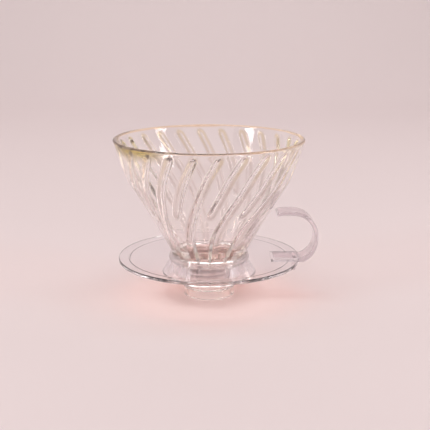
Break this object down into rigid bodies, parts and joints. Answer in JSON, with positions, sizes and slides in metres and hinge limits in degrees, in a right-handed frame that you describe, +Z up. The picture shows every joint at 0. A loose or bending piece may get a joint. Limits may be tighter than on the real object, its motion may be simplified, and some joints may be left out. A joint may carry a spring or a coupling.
{
  "type": "pour over dripper",
  "caption": "Clear ribbed glass cone on a thin round plastic saucer with a C-shaped finger handle, held by a threaded ring over the drain spout.",
  "frame": {"origin": "centre of the outlet spout's bottom face", "axes": "+Z up along the cone's axis, +X towards the handle"},
  "size_m": [0.127, 0.1178, 0.0996],
  "materials": {
    "glass": "clear pressed glass with a faint warm tint",
    "clear_plastic": "clear, faintly lilac",
    "silicone": "clear, slightly milky"
  },
  "bodies": {
    "dripper": {"glass_cone": "glass", "upper_seal": "silicone", "saucer": "clear_plastic", "handle": "clear_plastic"},
    "washer": {"lower_seal": "silicone"},
    "nut": {"lock_nut": "clear_plastic"}
  },
  "joints": [
    {"name": "nut_travel", "type": "slide", "parent": "dripper", "child": "washer", "axis": [0, 0, -1], "range_m": [0, 0.0072]},
    {"name": "nut_turn", "type": "hinge", "parent": "washer", "child": "nut", "pos_m": [0, 0, 0.0144], "axis": [0, 0, -1], "range_deg": [0, 479]}
  ],
  "couplings": [
    {"joint": "nut_travel", "follows": "nut_turn", "m_per_rad": 0.00085944}
  ]
}
